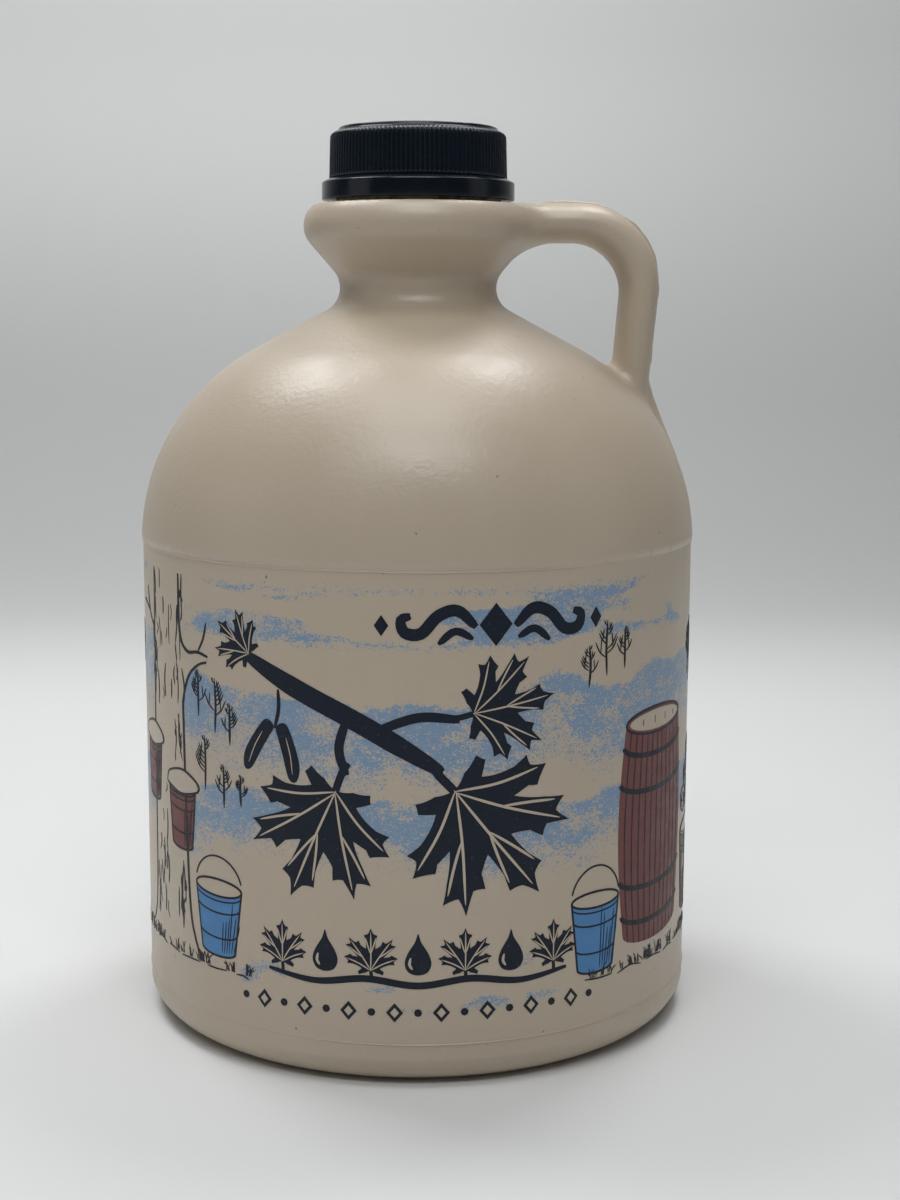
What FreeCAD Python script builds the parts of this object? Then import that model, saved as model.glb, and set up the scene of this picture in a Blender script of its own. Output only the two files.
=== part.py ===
"""Half-gallon syrup jug with a loop handle and a ribbed screw cap.

Three pieces, each a PartDesign body: the blow-moulded jug, its tamper band and its
screw cap.  The jug is filled and shut, so it is one solid out to its skin.

Frame: millimetres, +Z up, origin on the jug's axis in the plane that it stands on,
handle towards +X.
"""
import FreeCAD, Part
import math
import os
import re

import Sketcher
from FreeCAD import Vector

# Driving dimensions, in millimetres and degrees: alias, value, what it is.
SIZES = [
    ("body_radius", 64.0, "outer radius of the round body"),
    ("shoulder_start", 109.3, "height where the straight side turns into the shoulder"),
    ("shoulder_radius", 50.0, "radius of the shoulder's curve"),
    ("cone_angle", 28.0, "slope of the upper shoulder, from level"),
    ("base_corner", 8.7, "radius between side and standing ring"),
    ("ring_width", 5.5, "width of the flat ring that the jug stands on"),
    ("base_dome", 3.6, "rise of the dished base inside that ring"),
    ("panel_bottom", 9.6, "lower edge of the print panel"),
    ("panel_top", 110.9, "upper edge of the print panel"),
    ("panel_depth", 0.3, "how far the panel lies below the side"),
    ("neck_radius", 18.0, "narrowest radius under the collar"),
    ("neck_fillet", 5.8, "radius of the waist under the collar"),
    ("flare_angle", 49.0, "slope of the collar's underside, from level"),
    ("collar_radius", 26.3, "largest radius of the collar"),
    ("collar_round", 6.0, "radius of the collar's rounded edge"),
    ("collar_rise", 4.8, "collar's flat top above the middle of that edge"),
    ("finish_radius", 18.7, "radius of the mouth that the cap screws on"),
    ("handle_width", 15.5, "handle section across the jug"),
    ("handle_thick", 9.2, "handle section in the plane of the loop"),
    ("handle_lift", 0.65, "handle's top above the collar's flat top"),
    ("handle_setback", 13.1, "middle of the upright inside the body's side"),
    ("handle_bend", 14.9, "bend radius of the handle's middle line"),
    ("handle_lean", 5.0, "lean of the upright towards the body"),
    ("handle_root", 26.0, "buried lower end above the shoulder's start"),
    ("root_fillet", 1.8, "radius where the handle meets the jug"),
    ("band_gap", 0.9, "space between the collar and the tamper band"),
    ("band_wall", 3.15, "thickness of the tamper band"),
    ("band_height", 3.9, "upright face of the tamper band"),
    ("band_slope", 0.8, "height of the sloped top of the band"),
    ("band_step", 1.6, "how far that slope runs inwards"),
    ("cap_wall", 1.1, "thickness of the cap's skirt between its ribs"),
    ("rib_count", 120, "ribs round the cap"),
    ("rib_depth", 0.35, "height of one rib"),
    ("rib_height", 9.1, "ribbed part of the cap"),
    ("crown_round", 1.5, "rounding above the ribs"),
    ("crown_disc", 0.7, "raised disc on the cap's top"),
    ("cap_top_wall", 1.8, "thickness of the cap's top"),
    ("fit_gap", 0.15, "clearance between mouth, band and cap"),
]

# Heights and radii that several pieces share, as formulas of the cells above.
DERIVED = {
    "cone_foot_r": "body_radius - shoulder_radius * (1 - sin(cone_angle))",
    "cone_foot_z": "shoulder_start + shoulder_radius * cos(cone_angle)",
    "cone_head_r": "neck_radius + neck_fillet * (1 - sin(cone_angle))",
    "cone_head_z": "cone_foot_z + (cone_foot_r - cone_head_r) * tan(cone_angle)",
    "waist_z": "cone_head_z + neck_fillet * cos(cone_angle)",
    "flare_foot_r": "neck_radius + neck_fillet * (1 - sin(flare_angle))",
    "flare_foot_z": "waist_z + neck_fillet * cos(flare_angle)",
    "flare_head_r": "collar_radius - collar_round * (1 - sin(flare_angle))",
    "flare_head_z": "flare_foot_z + (flare_head_r - flare_foot_r) * tan(flare_angle)",
    "collar_z": "flare_head_z + collar_round * cos(flare_angle)",
    "collar_top_r": "collar_radius - collar_round + sqrt(collar_round^2 - collar_rise^2)",
    "collar_top_z": "collar_z + collar_rise",
    "panel_r": "body_radius - panel_depth",
    "ring_outer_r": "body_radius - base_corner",
    "ring_inner_r": "ring_outer_r - ring_width",
    "handle_z": "collar_top_z + handle_lift - handle_thick / 2",
    "bend_x": "body_radius - handle_setback - handle_bend",
    "bend_z": "handle_z - handle_bend",
    "lean_x": "bend_x + handle_bend * cos(handle_lean)",
    "lean_z": "bend_z - handle_bend * sin(handle_lean)",
    "root_z": "shoulder_start + handle_root",
    "root_x": "lean_x - (lean_z - root_z) * tan(handle_lean)",
    "band_z": "collar_top_z + band_gap",
    "band_edge_z": "band_z + band_height",
    "band_top_z": "band_edge_z + band_slope",
    "bore_r": "finish_radius + fit_gap",
    "band_r": "bore_r + band_wall",
    "cap_z": "band_top_z + fit_gap",
    "rib_top_z": "cap_z + rib_height",
    "crown_r": "bore_r + cap_wall",
    "crown_z": "rib_top_z + crown_round",
    "disc_r": "crown_r - crown_round",
    "cap_top_z": "crown_z + crown_disc",
    "mouth_z": "cap_top_z - cap_top_wall",
}


def spell_out(formula):
    """A formula written with aliases and derived names, in cell references only."""
    names = re.compile(r"[a-z_]+[a-z]")
    while any(word in DERIVED for word in names.findall(formula)):
        formula = names.sub(
            lambda m: "(" + DERIVED[m.group()] + ")" if m.group() in DERIVED else m.group(),
            formula)
    cells = {alias for alias, _, _ in SIZES}
    return names.sub(lambda m: "sizes." + m.group() if m.group() in cells else m.group(), formula)


def make_sheet(doc):
    sheet = doc.addObject("Spreadsheet::Sheet", "sizes")
    for row, (alias, value, note) in enumerate(SIZES, start=1):
        sheet.set("A%d" % row, alias)
        sheet.set("B%d" % row, str(value))
        sheet.setAlias("B%d" % row, alias)
        sheet.set("C%d" % row, note)
    doc.recompute()
    return sheet


def number(sheet, formula):
    return float(sheet.evalExpression(spell_out(formula)))


def origin_plane(body, role):
    return next(f for f in body.Origin.OriginFeatures if f.Role == role)


def new_sketch(body, name, role, offset=None):
    """A sketch on one of the body's own planes, moved along the plane's normal."""
    sketch = body.newObject("Sketcher::SketchObject", name)
    sketch.AttachmentSupport = [(origin_plane(body, role), "")]
    sketch.MapMode = "FlatFace"
    if offset is not None:
        sketch.setExpression("AttachmentOffset.Base.z", spell_out(offset))
    return sketch


def tie(sheet, sketch, kind, geometry, end, formula):
    """Ties one coordinate of a point to a formula, from the sketch's origin."""
    value = number(sheet, formula)
    index = sketch.addConstraint(Sketcher.Constraint(kind, -1, 1, geometry, end, value))
    if value:
        sketch.setExpression("Constraints[%d]" % index, spell_out(formula))


def pin(sheet, sketch, geometry, end, right, up):
    tie(sheet, sketch, "DistanceX", geometry, end, right)
    tie(sheet, sketch, "DistanceY", geometry, end, up)


def outline(sheet, sketch, steps, closed=True):
    """Draws straight and round edges from point to point, each point tied to formulas.

    A step is (right, up) for a straight edge to that point, or (right, up, centre
    right, centre up, "ccw" or "cw") for an arc to it.
    """
    ends = [(number(sheet, step[0]), number(sheet, step[1])) for step in steps]
    start = steps[-1] if closed else steps[0]
    at = ends[-1] if closed else ends[0]
    first = None
    last = None
    for step, end in list(zip(steps, ends))[0 if closed else 1:]:
        here, there = Vector(at[0], at[1], 0), Vector(end[0], end[1], 0)
        if len(step) == 2:
            edge = Part.LineSegment(here, there)
            head, tail = 1, 2
        else:
            centre = Vector(number(sheet, step[2]), number(sheet, step[3]), 0)
            angles = [math.atan2(p.y - centre.y, p.x - centre.x) for p in (here, there)]
            head, tail = (1, 2) if step[4] == "ccw" else (2, 1)
            if step[4] == "cw":
                angles.reverse()
            if angles[1] < angles[0]:
                angles[1] += 2 * math.pi
            circle = Part.Circle(centre, Vector(0, 0, 1), (here - centre).Length)
            edge = Part.ArcOfCircle(circle, angles[0], angles[1])
        index = sketch.addGeometry(edge, False)
        if len(step) > 2:
            pin(sheet, sketch, index, 3, step[2], step[3])
        if last is None:
            first = (index, head)
            if not closed:
                pin(sheet, sketch, index, head, start[0], start[1])
        else:
            sketch.addConstraint(Sketcher.Constraint("Coincident", last[0], last[1], index, head))
        if len(step) > 2:
            # Its centre and its other end fix the arc's circle, so this end is tied once:
            # along whichever direction the arc is steeper in there.
            level = abs(end[1] - centre.y) > abs(end[0] - centre.x)
            kind, formula = ("DistanceX", step[0]) if level else ("DistanceY", step[1])
            tie(sheet, sketch, kind, index, tail, formula)
        else:
            pin(sheet, sketch, index, tail, step[0], step[1])
        last = (index, tail)
        at = end
    if closed:
        sketch.addConstraint(Sketcher.Constraint("Coincident", last[0], last[1], *first))


def revolve(body, sketch, name, kind="Revolution"):
    """Turns a sketch drawn on the YZ plane once round the jug's axis."""
    feature = body.newObject("PartDesign::" + kind, name)
    feature.Profile = sketch
    feature.ReferenceAxis = (sketch, ["V_Axis"])
    feature.Angle = 360.0
    return feature


def make_jug(doc, sheet):
    body = doc.addObject("PartDesign::Body", "Jug")
    body.Label = "jug"

    profile = new_sketch(body, "JugProfile", "YZ_Plane")
    dome = "((ring_inner_r^2 + base_dome^2) / (2 * base_dome))"
    outline(sheet, profile, [
        ("ring_inner_r", "0", "0", "base_dome - " + dome, "cw"),
        ("ring_outer_r", "0"),
        ("body_radius", "base_corner", "ring_outer_r", "base_corner", "ccw"),
        ("body_radius", "panel_bottom"),
        ("panel_r", "panel_bottom + panel_depth"),
        ("panel_r", "shoulder_start - panel_depth"),
        ("body_radius", "shoulder_start"),
        ("cone_foot_r", "cone_foot_z", "body_radius - shoulder_radius", "shoulder_start", "ccw"),
        ("cone_head_r", "cone_head_z"),
        ("flare_foot_r", "flare_foot_z", "neck_radius + neck_fillet", "waist_z", "cw"),
        ("flare_head_r", "flare_head_z"),
        ("collar_top_r", "collar_top_z", "collar_radius - collar_round", "collar_z", "ccw"),
        ("finish_radius", "collar_top_z"),
        ("finish_radius", "mouth_z"),
        ("0", "mouth_z"),
        ("0", "base_dome"),
    ])
    revolve(body, profile, "JugTurned")

    path = new_sketch(body, "HandlePath", "XZ_Plane")
    outline(sheet, path, [
        ("finish_radius / 2", "handle_z"),
        ("bend_x", "handle_z"),
        ("lean_x", "lean_z", "bend_x", "bend_z", "cw"),
        ("root_x", "root_z"),
    ], closed=False)
    section = new_sketch(body, "HandleSection", "YZ_Plane", "finish_radius / 2")
    middle = Vector(0, number(sheet, "handle_z"), 0)
    half_width = number(sheet, "handle_width / 2")
    half_thick = number(sheet, "handle_thick / 2")
    section.addGeometry(Part.Ellipse(
        middle + Vector(half_width, 0, 0), middle + Vector(0, half_thick, 0), middle), False)
    handle = body.newObject("PartDesign::AdditivePipe", "Handle")
    handle.Profile = section
    handle.Spine = (path, [])
    doc.recompute()

    # The handle's lower end crosses the shoulder in the one free-form edge below the waist.
    waist = number(sheet, "waist_z")
    seams = [
        "Edge%d" % index for index, edge in enumerate(handle.Shape.Edges, start=1)
        if not edge.Degenerated and edge.BoundBox.ZMax < waist
        and edge.Curve.TypeId == "Part::GeomBSplineCurve"]
    blend = body.newObject("PartDesign::Fillet", "HandleRoot")
    blend.Base = (handle, seams)
    blend.setExpression("Radius", spell_out("root_fillet"))
    return body


def make_band(doc, sheet):
    body = doc.addObject("PartDesign::Body", "TamperBand")
    body.Label = "tamper_band"
    profile = new_sketch(body, "BandProfile", "YZ_Plane")
    outline(sheet, profile, [
        ("bore_r", "band_z"),
        ("band_r", "band_z"),
        ("band_r", "band_edge_z"),
        ("band_r - band_step", "band_top_z"),
        ("bore_r", "band_top_z"),
    ])
    revolve(body, profile, "BandTurned")
    return body


def rib_points(sheet):
    """Corners of the ribbed outline: a narrow crest and a narrow root for each rib."""
    crest = number(sheet, "crown_r + rib_depth")
    root = number(sheet, "crown_r")
    pitch = 2 * math.pi / number(sheet, "rib_count")
    shares = ((0.00, crest), (0.34, crest), (0.52, root), (0.82, root))
    return [
        Vector(radius * math.cos((rib + share) * pitch), radius * math.sin((rib + share) * pitch), 0)
        for rib in range(int(number(sheet, "rib_count"))) for share, radius in shares]


def make_cap(doc, sheet):
    body = doc.addObject("PartDesign::Body", "Cap")
    body.Label = "cap"
    ribs = new_sketch(body, "RibOutline", "XY_Plane", "cap_z")
    corners = rib_points(sheet)
    ribs.addGeometry([
        Part.LineSegment(here, there) for here, there in zip(corners, corners[1:] + corners[:1])],
        False)
    skirt = body.newObject("PartDesign::Pad", "RibbedSkirt")
    skirt.Profile = ribs
    skirt.setExpression("Length", spell_out("rib_height"))

    crown = new_sketch(body, "CrownProfile", "YZ_Plane")
    outline(sheet, crown, [
        ("0", "rib_top_z"),
        ("crown_r", "rib_top_z"),
        ("disc_r", "crown_z", "disc_r", "rib_top_z", "ccw"),
        ("disc_r - crown_disc", "cap_top_z"),
        ("0", "cap_top_z"),
    ])
    revolve(body, crown, "Crown")

    bore = new_sketch(body, "BoreProfile", "YZ_Plane")
    outline(sheet, bore, [
        ("0", "cap_z"),
        ("bore_r", "cap_z"),
        ("bore_r", "mouth_z"),
        ("0", "mouth_z"),
    ])
    revolve(body, bore, "Bore", "Groove")
    return body


def check(doc, bodies):
    for item in doc.Objects:
        if "Invalid" in item.State or "Error" in item.State:
            raise RuntimeError("%s did not build: %s" % (item.Name, item.State))
    for body in bodies:
        shape = body.Shape
        if shape.isNull() or not shape.isValid() or len(shape.Solids) != 1:
            raise RuntimeError("%s is not one valid solid" % body.Label)


def main():
    doc = FreeCAD.newDocument("syrup_jug")
    sheet = make_sheet(doc)
    bodies = [make_jug(doc, sheet), make_band(doc, sheet), make_cap(doc, sheet)]
    doc.recompute()
    check(doc, bodies)
    os.makedirs("parts", exist_ok=True)
    for body in bodies:
        body.Shape.exportStep(os.path.join("parts", body.Label + ".step"))
        box = body.Shape.BoundBox
        print("%-12s %9.1f mm3  x %.2f..%.2f  y %.2f..%.2f  z %.2f..%.2f" % (
            body.Label, body.Shape.Volume, box.XMin, box.XMax, box.YMin, box.YMax,
            box.ZMin, box.ZMax))


main()
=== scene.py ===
"""The looks of a half-gallon syrup jug: satin beige plastic with a printed band round its
side, a loop handle, a smooth tamper band and a finely ribbed dark screw cap.

Shapes are worked out in millimetres from the CAD boxes and the named sizes below, and
turned into metres when a mesh is made.
"""
from math import atan2, ceil, cos, degrees, exp, pi, radians, sin, sqrt, tan

import bpy
import numpy as np
from mathutils import Matrix, Vector
from mathutils.geometry import delaunay_2d_cdt


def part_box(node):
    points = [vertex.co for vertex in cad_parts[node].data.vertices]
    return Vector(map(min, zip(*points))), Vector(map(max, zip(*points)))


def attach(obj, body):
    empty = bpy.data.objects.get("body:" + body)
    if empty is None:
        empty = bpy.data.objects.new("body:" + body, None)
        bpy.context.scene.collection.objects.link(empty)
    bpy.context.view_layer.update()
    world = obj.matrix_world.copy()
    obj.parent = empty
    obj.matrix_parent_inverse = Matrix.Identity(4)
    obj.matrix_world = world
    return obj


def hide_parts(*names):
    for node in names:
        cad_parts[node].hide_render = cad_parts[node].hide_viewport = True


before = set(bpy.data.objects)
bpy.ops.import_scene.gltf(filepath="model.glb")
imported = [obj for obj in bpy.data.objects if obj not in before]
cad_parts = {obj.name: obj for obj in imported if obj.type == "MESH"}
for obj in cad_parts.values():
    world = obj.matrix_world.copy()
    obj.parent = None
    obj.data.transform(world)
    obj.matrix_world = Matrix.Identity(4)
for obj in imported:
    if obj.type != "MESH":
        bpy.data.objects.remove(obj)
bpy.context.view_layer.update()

MM = 0.001

# ------------ sizes, in millimetres
JUG_LOW, JUG_HIGH = (np.array(corner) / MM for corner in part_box("jug"))
CAP_LOW, CAP_HIGH = (np.array(corner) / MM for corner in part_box("cap"))
BAND_LOW, BAND_HIGH = (np.array(corner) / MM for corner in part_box("tamper_band"))

BODY_R = JUG_HIGH[0]
PANEL_DEPTH = 0.3
PANEL_R = BODY_R - PANEL_DEPTH
STEP_RISE = 1.6
SHOULDER_Z = 109.3
SHOULDER_R = 50.0
CONE = radians(28.0)
BASE_CORNER = 8.7
RING_WIDTH = 5.5
BASE_DOME = 3.6
NECK_R = 18.0
NECK_FILLET = 5.8
FLARE = radians(49.0)
COLLAR_R = 26.25
COLLAR_ROUND = 6.0
COLLAR_RISE = 4.8
MOUTH_R = 18.7
FIT_GAP = 0.15

HANDLE_LIFT = 0.65
HANDLE_THICK = 9.2
HANDLE_INSET = 13.1
HANDLE_BEND = 14.9
HANDLE_X = BODY_R - HANDLE_INSET - HANDLE_BEND
HANDLE_LEAN = radians(5.0)
HANDLE_DROP = 32.0
HALF_THICK = 4.55
HALF_WIDTH = 7.6
TAIL_HEAD, TAIL_FOOT = np.array([51.6, 143.6]), np.array([58.3, 127.6])
LEAN_DOWN = np.array([-sin(HANDLE_LEAN), -cos(HANDLE_LEAN)])
LEAN_OUT = np.array([cos(HANDLE_LEAN), -sin(HANDLE_LEAN)])


# ------------ meshes
def new_object(name, data):
    thing = bpy.data.objects.new(name, data)
    bpy.context.scene.collection.objects.link(thing)
    return thing


def smooth_mesh(name, points, faces, material):
    """An object with a smooth mesh, from points in metres."""
    mesh = bpy.data.meshes.new(name)
    mesh.from_pydata(points, [], faces)
    mesh.validate()
    mesh.polygons.foreach_set("use_smooth", [True] * len(mesh.polygons))
    mesh.materials.append(material)
    return new_object(name, mesh)


def add_mesh(name, points, faces, material, normals=None):
    """A smooth piece of the jug from points in millimetres."""
    points = [tuple(p) for p in np.asarray(points) * MM]
    piece = smooth_mesh(name, points, faces, material)
    if normals is not None:
        piece.data.normals_split_custom_set_from_vertices([tuple(n) for n in normals])
    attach(piece, "root")
    return piece


def hoop(radii, height, columns):
    """A level ring of points round the jug's axis."""
    angles = 2 * pi * np.arange(columns) / columns
    return np.c_[radii * np.cos(angles), radii * np.sin(angles), 0 * angles + height]


def grid_faces(rows, columns, close_rows=True, close_columns=True):
    """Quads over a grid of points that lie row after row."""
    faces = []
    for row in range(rows if close_rows else rows - 1):
        above = (row + 1) % rows
        for i in range(columns if close_columns else columns - 1):
            j = (i + 1) % columns
            faces.append((row * columns + i, row * columns + j,
                          above * columns + j, above * columns + i))
    return faces


def square_to(path):
    """Unit vectors square to a flat path, to its left."""
    along = np.gradient(path, axis=0)
    along /= np.linalg.norm(along, axis=1)[:, None]
    return np.c_[-along[:, 1], along[:, 0]]


def arc(centre, radius, start, end, steps):
    """Points on an arc, angles in degrees from the radius direction."""
    angles = np.radians(np.linspace(start, end, steps))
    return [(centre[0] + radius * cos(a), centre[1] + radius * sin(a)) for a in angles]


# ------------ the jug's outer form
def jug_outline():
    """The jug's half section: straight edges ("line", from, to) and round ones
    ("arc", centre, radius, from, to, 1 for a bulge or -1 for a hollow)."""
    cone_foot = np.array([BODY_R - SHOULDER_R * (1 - sin(CONE)),
                          SHOULDER_Z + SHOULDER_R * cos(CONE)])
    cone_head_r = NECK_R + NECK_FILLET * (1 - sin(CONE))
    cone_head = np.array([cone_head_r, cone_foot[1] + (cone_foot[0] - cone_head_r) * tan(CONE)])
    waist = np.array([NECK_R + NECK_FILLET, cone_head[1] + NECK_FILLET * cos(CONE)])
    flare_foot = waist + NECK_FILLET * np.array([-sin(FLARE), cos(FLARE)])
    flare_head_r = COLLAR_R - COLLAR_ROUND * (1 - sin(FLARE))
    flare_head = np.array([flare_head_r,
                           flare_foot[1] + (flare_head_r - flare_foot[0]) * tan(FLARE)])
    collar = np.array([COLLAR_R - COLLAR_ROUND, flare_head[1] + COLLAR_ROUND * cos(FLARE)])
    collar_top = np.array([collar[0] + sqrt(COLLAR_ROUND**2 - COLLAR_RISE**2),
                           collar[1] + COLLAR_RISE])
    ring_out = BODY_R - BASE_CORNER
    ring_in = ring_out - RING_WIDTH
    dome_r = (ring_in**2 + BASE_DOME**2) / (2 * BASE_DOME)
    step_low = sqrt(BASE_CORNER**2 - (BASE_CORNER - PANEL_DEPTH)**2)
    shoulder = np.array([BODY_R - SHOULDER_R, SHOULDER_Z])
    step_high = SHOULDER_Z + STEP_RISE
    step_r = shoulder[0] + sqrt(SHOULDER_R**2 - (step_high - SHOULDER_Z)**2)
    edges = [
        ("arc", (0.0, BASE_DOME - dome_r), dome_r, (0.0, BASE_DOME), (ring_in, 0.0), -1),
        ("line", (ring_in, 0.0), (ring_out, 0.0)),
        ("arc", (ring_out, BASE_CORNER), BASE_CORNER, (ring_out, 0.0),
         (PANEL_R, BASE_CORNER - step_low), 1),
        ("line", (PANEL_R, BASE_CORNER - step_low), (PANEL_R, step_high - 0.5)),
        ("line", (PANEL_R, step_high - 0.5), (step_r, step_high)),
        ("arc", shoulder, SHOULDER_R, (step_r, step_high), cone_foot, 1),
        ("line", cone_foot, cone_head),
        ("arc", waist, NECK_FILLET, cone_head, flare_foot, -1),
        ("line", flare_foot, flare_head),
        ("arc", collar, COLLAR_ROUND, flare_head, collar_top, 1),
        ("line", collar_top, (MOUTH_R, collar_top[1])),
        ("line", (MOUTH_R, collar_top[1]), (MOUTH_R, JUG_HIGH[2])),
        ("line", (MOUTH_R, JUG_HIGH[2]), (0.0, JUG_HIGH[2])),
    ]
    return edges, waist[1], collar_top[1]


OUTLINE, WAIST_Z, COLLAR_TOP_Z = jug_outline()
HANDLE_Z = COLLAR_TOP_Z + HANDLE_LIFT - HANDLE_THICK / 2
BEND_Z = HANDLE_Z - HANDLE_BEND
KNEE = np.array([HANDLE_X, BEND_Z]) + HANDLE_BEND * LEAN_OUT


def body_distance(r, z):
    """Signed distance, in millimetres, to the turned body's skin, negative inside."""
    best = np.full(r.shape, np.inf)
    side = np.zeros(r.shape)
    crossings = np.zeros(r.shape, dtype=bool)
    for edge in OUTLINE:
        if edge[0] == "line":
            (ar, az), (br, bz) = edge[1:]
            dr, dz = br - ar, bz - az
            share = np.clip(((r - ar) * dr + (z - az) * dz) / (dr * dr + dz * dz), 0, 1)
            gap = np.hypot(r - ar - share * dr, z - az - share * dz)
            beyond = (r - ar) * dz - (z - az) * dr
            chain = [(ar, az), (br, bz)]
        else:
            centre, radius, start, end, way = edge[1:]
            reach = np.hypot(r - centre[0], z - centre[1])
            angle = np.arctan2(z - centre[1], r - centre[0])
            first, last = (atan2(p[1] - centre[1], p[0] - centre[0]) for p in (start, end))
            turn = (last - first + pi) % (2 * pi) - pi
            share = ((angle - first + pi) % (2 * pi) - pi) / turn
            ends = np.minimum(np.hypot(r - start[0], z - start[1]),
                              np.hypot(r - end[0], z - end[1]))
            gap = np.where((share >= 0) & (share <= 1), np.abs(reach - radius), ends)
            beyond = way * (reach - radius)
            chain = arc(centre, radius, degrees(first), degrees(first + turn), 12)
        closer = gap < best
        best = np.where(closer, gap, best)
        side = np.where(closer, beyond, side)
        for (ar, az), (br, bz) in zip(chain, chain[1:]):
            if az != bz:
                hit = ((az > z) != (bz > z)) & (r < ar + (z - az) * (br - ar) / (bz - az))
                crossings ^= hit
    outside = np.where(best < 0.5, side > 0, ~crossings)
    return np.where(outside, best, -best)


def handle_distance(x, y, z):
    """Distance to the handle: an oval section along a run, a bend and a leaning upright."""
    # The level run from inside the mouth to the bend.
    along = np.clip(x, 8.0, HANDLE_X)
    runs = [(along, np.full_like(x, HANDLE_Z), z - HANDLE_Z, 0 * x)]
    # The bend.
    bent = np.clip(np.arctan2(z - BEND_Z, x - HANDLE_X), -HANDLE_LEAN, pi / 2)
    centre_x = HANDLE_X + HANDLE_BEND * np.cos(bent)
    centre_z = BEND_Z + HANDLE_BEND * np.sin(bent)
    out = (x - centre_x) * np.cos(bent) + (z - centre_z) * np.sin(bent)
    runs.append((centre_x, centre_z, out, np.sin(2 * np.clip(bent, 0, pi / 2))))
    # The upright, buried in the shoulder at its lower end.
    down = np.clip((x - KNEE[0]) * LEAN_DOWN[0] + (z - KNEE[1]) * LEAN_DOWN[1], 0, HANDLE_DROP)
    centre_x = KNEE[0] + LEAN_DOWN[0] * down
    centre_z = KNEE[1] + LEAN_DOWN[1] * down
    out = (x - centre_x) * LEAN_OUT[0] + (z - centre_z) * LEAN_OUT[1]
    runs.append((centre_x, centre_z, out, -down / HANDLE_DROP))
    best = np.full(x.shape, np.inf)
    for centre_x, centre_z, out, place in runs:
        # The place is 1 at the middle of the bend and -1 at the upright's lower end.
        bend, low = np.clip(place, 0, 1), np.clip(-place, 0, 1)
        half_thick = HALF_THICK + 0.35 * bend - 0.25 * low
        half_width = HALF_WIDTH - 0.3 * bend + 0.5 * low
        beyond = np.hypot(x - centre_x, z - centre_z)
        out = np.where(np.abs(out) > 1e-9, np.sign(out), 1.0) * beyond
        size = np.hypot(out / half_thick, y / half_width)
        slope = np.hypot(out / half_thick**2, y / half_width**2)
        gap = np.where(slope > 1e-6, size * (size - 1) / np.maximum(slope, 1e-6), -half_thick)
        best = np.minimum(best, gap)
    return best


def melt(first, second, blend):
    """The nearer of two distances, with a fillet of about the blend where they meet."""
    share = np.clip(0.5 + 0.5 * (first - second) / blend, 0, 1)
    return first * (1 - share) + second * share - blend * share * (1 - share)


def tail_distance(x, y, z):
    """Distance to the pinched ridge that runs from the handle's foot down the shoulder."""
    run = TAIL_FOOT - TAIL_HEAD
    x, z = x - TAIL_HEAD[0], z - TAIL_HEAD[1]
    share = np.clip((x * run[0] + z * run[1]) / (run @ run), 0, 1)
    gap = np.hypot(x - share * run[0], z - share * run[1])
    return np.hypot(gap, y) - (2.7 - 0.9 * share)


def jug_field(points):
    """Signed distance to the whole jug, with the handle's roots blended into the body."""
    x, y, z = points[..., 0], points[..., 1], points[..., 2]
    body = body_distance(np.hypot(x, y), z)
    handle = handle_distance(x, y, z)
    blend = 3.0 + 2.5 * np.clip((z - WAIST_Z) / 10.0, 0, 1)
    blend = np.where(z > COLLAR_TOP_Z - 0.3, 0.6, blend)
    return melt(melt(handle, body, blend), tail_distance(x, y, z), 1.6)


def field_slope(points, step):
    """The direction in which the field grows, from differences over the step."""
    slope = np.empty_like(points)
    for axis in range(3):
        shift = np.zeros(3)
        shift[axis] = step
        slope[:, axis] = (jug_field(points + shift) - jug_field(points - shift)) / (2 * step)
    return slope


def surface_net(values, low, step):
    """A quad skin round the negative part of a grid of distances."""
    shape = np.array(values.shape) - 1
    total = np.zeros((shape.prod(), 3))
    count = np.zeros(shape.prod())
    stride = np.array([shape[1] * shape[2], shape[2], 1])
    quads = []
    inside = values < 0
    for axis in range(3):
        u, v = (axis + 1) % 3, (axis + 2) % 3
        here = np.moveaxis(inside, axis, 0)
        cross = np.moveaxis(here[:-1] != here[1:], 0, axis)
        index = np.argwhere(cross)
        ends = index.copy()
        ends[:, axis] += 1
        a = values[tuple(index.T)]
        b = values[tuple(ends.T)]
        place = index.astype(float)
        place[:, axis] += a / (a - b)
        cells = []
        for du, dv in ((1, 1), (0, 1), (0, 0), (1, 0)):
            cell = index.copy()
            cell[:, u] -= du
            cell[:, v] -= dv
            flat = cell @ stride
            np.add.at(total, flat, place)
            np.add.at(count, flat, 1)
            cells.append(flat)
        quad = np.stack(cells, axis=1)
        quad[a > 0] = quad[a > 0][:, ::-1]
        quads.append(quad)
    quads = np.concatenate(quads)
    used = np.nonzero(count)[0]
    number = np.full(len(count), -1)
    number[used] = np.arange(len(used))
    points = total[used] / count[used][:, None] * step + low
    return points, number[quads]


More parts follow.
